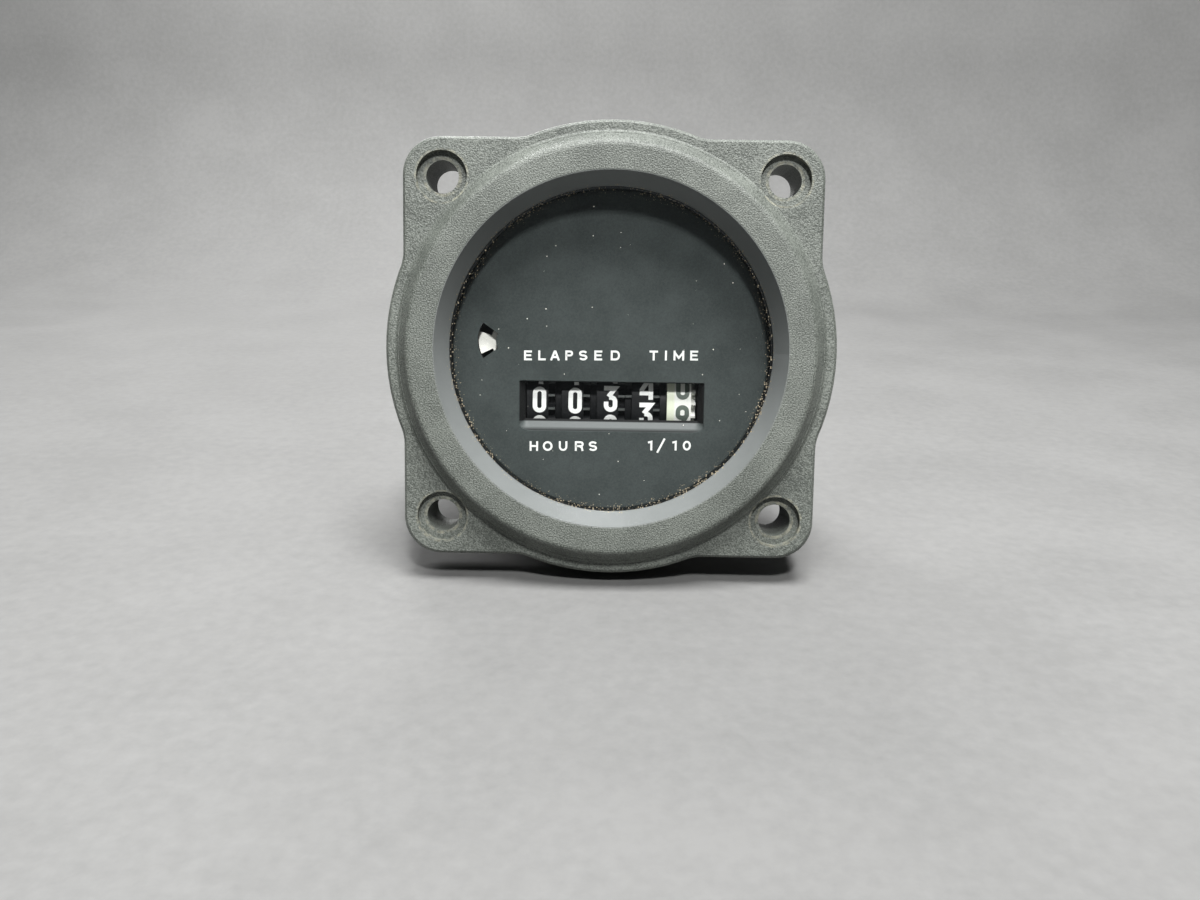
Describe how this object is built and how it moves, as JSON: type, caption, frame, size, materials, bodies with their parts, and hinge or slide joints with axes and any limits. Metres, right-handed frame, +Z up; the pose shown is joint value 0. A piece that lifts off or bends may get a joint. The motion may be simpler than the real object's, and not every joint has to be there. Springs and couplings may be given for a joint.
{
  "type": "hour meter",
  "caption": "Panel hour meter with a square flange, a round raised bezel, a drum counter reading to tenths, a running indicator and spade terminals.",
  "frame": {"origin": "centre of the flange's rear seating plane, on the axis of the case", "axes": "+Y from the face into the panel, along the case; +X to the right as seen from the front; +Z up"},
  "size_m": [0.063, 0.0525, 0.063],
  "materials": {
    "bezel_plastic": "moulded dark grey plastic with a fine sandblast grain",
    "lens_glass": "clear flat glass",
    "gasket_rubber": "black rubber",
    "dial_black": "dead matt black paint on sheet",
    "case_plastic": "moulded black plastic",
    "frame_casting": "die-cast zinc, satin",
    "screw_steel": "zinc-plated steel",
    "shaft_steel": "ground steel",
    "stator_steel": "stamped silicon steel",
    "bobbin_plastic": "moulded green nylon",
    "winding_copper": "enamelled copper wire",
    "lead_insulation": "red insulation",
    "board_laminate": "glass-epoxy laminate with green mask",
    "chip_epoxy": "moulded black epoxy",
    "crystal_can": "drawn and plated can",
    "capacitor_sleeve": "blue sleeve",
    "resistor_lacquer": "beige lacquer",
    "diode_epoxy": "black epoxy",
    "terminal_brass": "tinned brass",
    "magnet_ferrite": "sintered ferrite",
    "gear_nylon": "natural nylon",
    "worm_brass": "turned brass",
    "indicator_white": "moulded white plastic",
    "drum_black": "moulded black plastic",
    "drum_white": "moulded white plastic"
  },
  "bodies": {
    "housing": {"bezel": "bezel_plastic", "lens": "lens_glass", "lens_gasket": "gasket_rubber", "dial": "dial_black", "case": "case_plastic", "movement_frame": "frame_casting", "rear_plate": "frame_casting", "movement_screws": "screw_steel", "rear_plate_screws": "screw_steel", "drum_shaft": "shaft_steel", "pinion_shaft": "shaft_steel", "stator": "stator_steel", "stator_screws": "screw_steel", "coil_bobbin": "bobbin_plastic", "coil_winding": "winding_copper", "coil_leads": "lead_insulation", "circuit_board": "board_laminate", "chip": "chip_epoxy", "crystal": "crystal_can", "capacitor": "capacitor_sleeve", "resistor": "resistor_lacquer", "diode": "diode_epoxy", "left_terminal": "terminal_brass", "right_terminal": "terminal_brass"},
    "rotor": {"rotor_arbor": "shaft_steel", "rotor_magnet": "magnet_ferrite"},
    "first_stage": {"first_wheel": "gear_nylon"},
    "second_stage": {"second_wheel": "gear_nylon"},
    "worm_line": {"third_wheel": "gear_nylon", "worm_arbor": "shaft_steel", "worm": "worm_brass"},
    "cross_line": {"cross_shaft": "shaft_steel", "drive_pinion": "gear_nylon", "worm_wheel": "gear_nylon"},
    "indicator": {"indicator_wheel": "indicator_white", "indicator_arbor": "shaft_steel", "indicator_gear": "gear_nylon"},
    "thousands_counter": {"thousands_drum": "drum_black"},
    "hundreds_counter": {"hundreds_drum": "drum_black"},
    "tens_counter": {"tens_drum": "drum_black"},
    "units_counter": {"units_drum": "drum_black"},
    "tenths_counter": {"tenths_drum": "drum_white"},
    "thousands_carry": {"thousands_pinion": "gear_nylon"},
    "hundreds_carry": {"hundreds_pinion": "gear_nylon"},
    "tens_carry": {"tens_pinion": "gear_nylon"},
    "units_carry": {"units_pinion": "gear_nylon"}
  },
  "joints": [
    {"name": "rotor_spin", "type": "hinge", "parent": "housing", "child": "rotor", "pos_m": [-0.00551, 0.018, 0.001], "axis": [0, 1, 0], "continuous": true},
    {"name": "first_spin", "type": "hinge", "parent": "housing", "child": "first_stage", "pos_m": [0.00084, 0.018, 0.00395], "axis": [0, 1, 0], "continuous": true},
    {"name": "second_spin", "type": "hinge", "parent": "housing", "child": "second_stage", "pos_m": [0.00768, 0.018, 0.0062], "axis": [0, 1, 0], "continuous": true},
    {"name": "worm_spin", "type": "hinge", "parent": "housing", "child": "worm_line", "pos_m": [0.0156, 0.018, 0.00509], "axis": [0, 1, 0], "continuous": true},
    {"name": "cross_spin", "type": "hinge", "parent": "housing", "child": "cross_line", "pos_m": [0.014, 0.00592, -0.00071], "axis": [1, 0, 0], "continuous": true},
    {"name": "indicator_spin", "type": "hinge", "parent": "housing", "child": "indicator", "pos_m": [-0.01463, 0.018, 0.00125], "axis": [0, 1, 0], "continuous": true},
    {"name": "thousands_spin", "type": "hinge", "parent": "housing", "child": "thousands_counter", "pos_m": [-0.0106, 0.002, -0.0075], "axis": [1, 0, 0], "continuous": true},
    {"name": "thousands_carry_spin", "type": "hinge", "parent": "housing", "child": "thousands_carry", "pos_m": [-0.0081, 0.00984, -0.0075], "axis": [1, 0, 0], "continuous": true},
    {"name": "hundreds_spin", "type": "hinge", "parent": "housing", "child": "hundreds_counter", "pos_m": [-0.00552, 0.002, -0.0075], "axis": [1, 0, 0], "continuous": true},
    {"name": "hundreds_carry_spin", "type": "hinge", "parent": "housing", "child": "hundreds_carry", "pos_m": [-0.00302, 0.00984, -0.0075], "axis": [1, 0, 0], "continuous": true},
    {"name": "tens_spin", "type": "hinge", "parent": "housing", "child": "tens_counter", "pos_m": [-0.00044, 0.002, -0.0075], "axis": [1, 0, 0], "continuous": true},
    {"name": "tens_carry_spin", "type": "hinge", "parent": "housing", "child": "tens_carry", "pos_m": [0.00206, 0.00984, -0.0075], "axis": [1, 0, 0], "continuous": true},
    {"name": "units_spin", "type": "hinge", "parent": "housing", "child": "units_counter", "pos_m": [0.00464, 0.002, -0.0075], "axis": [1, 0, 0], "continuous": true},
    {"name": "units_carry_spin", "type": "hinge", "parent": "housing", "child": "units_carry", "pos_m": [0.00714, 0.00984, -0.0075], "axis": [1, 0, 0], "continuous": true},
    {"name": "tenths_spin", "type": "hinge", "parent": "housing", "child": "tenths_counter", "pos_m": [0.00972, 0.002, -0.0075], "axis": [1, 0, 0], "continuous": true}
  ],
  "couplings": [
    {"joint": "first_spin", "follows": "rotor_spin", "ratio": -0.16667},
    {"joint": "second_spin", "follows": "rotor_spin", "ratio": 0.033333},
    {"joint": "worm_spin", "follows": "rotor_spin", "ratio": -0.011111},
    {"joint": "cross_spin", "follows": "rotor_spin", "ratio": -0.00069444},
    {"joint": "indicator_spin", "follows": "rotor_spin", "ratio": -0.12308},
    {"joint": "thousands_spin", "follows": "rotor_spin", "ratio": 0.000000027778},
    {"joint": "thousands_carry_spin", "follows": "rotor_spin", "ratio": -0.000000069444},
    {"joint": "hundreds_spin", "follows": "rotor_spin", "ratio": 0.00000027778},
    {"joint": "hundreds_carry_spin", "follows": "rotor_spin", "ratio": -0.00000069444},
    {"joint": "tens_spin", "follows": "rotor_spin", "ratio": 0.0000027778},
    {"joint": "tens_carry_spin", "follows": "rotor_spin", "ratio": -0.0000069444},
    {"joint": "units_spin", "follows": "rotor_spin", "ratio": 0.000027778},
    {"joint": "units_carry_spin", "follows": "rotor_spin", "ratio": -0.000069444},
    {"joint": "tenths_spin", "follows": "rotor_spin", "ratio": 0.00027778}
  ]
}
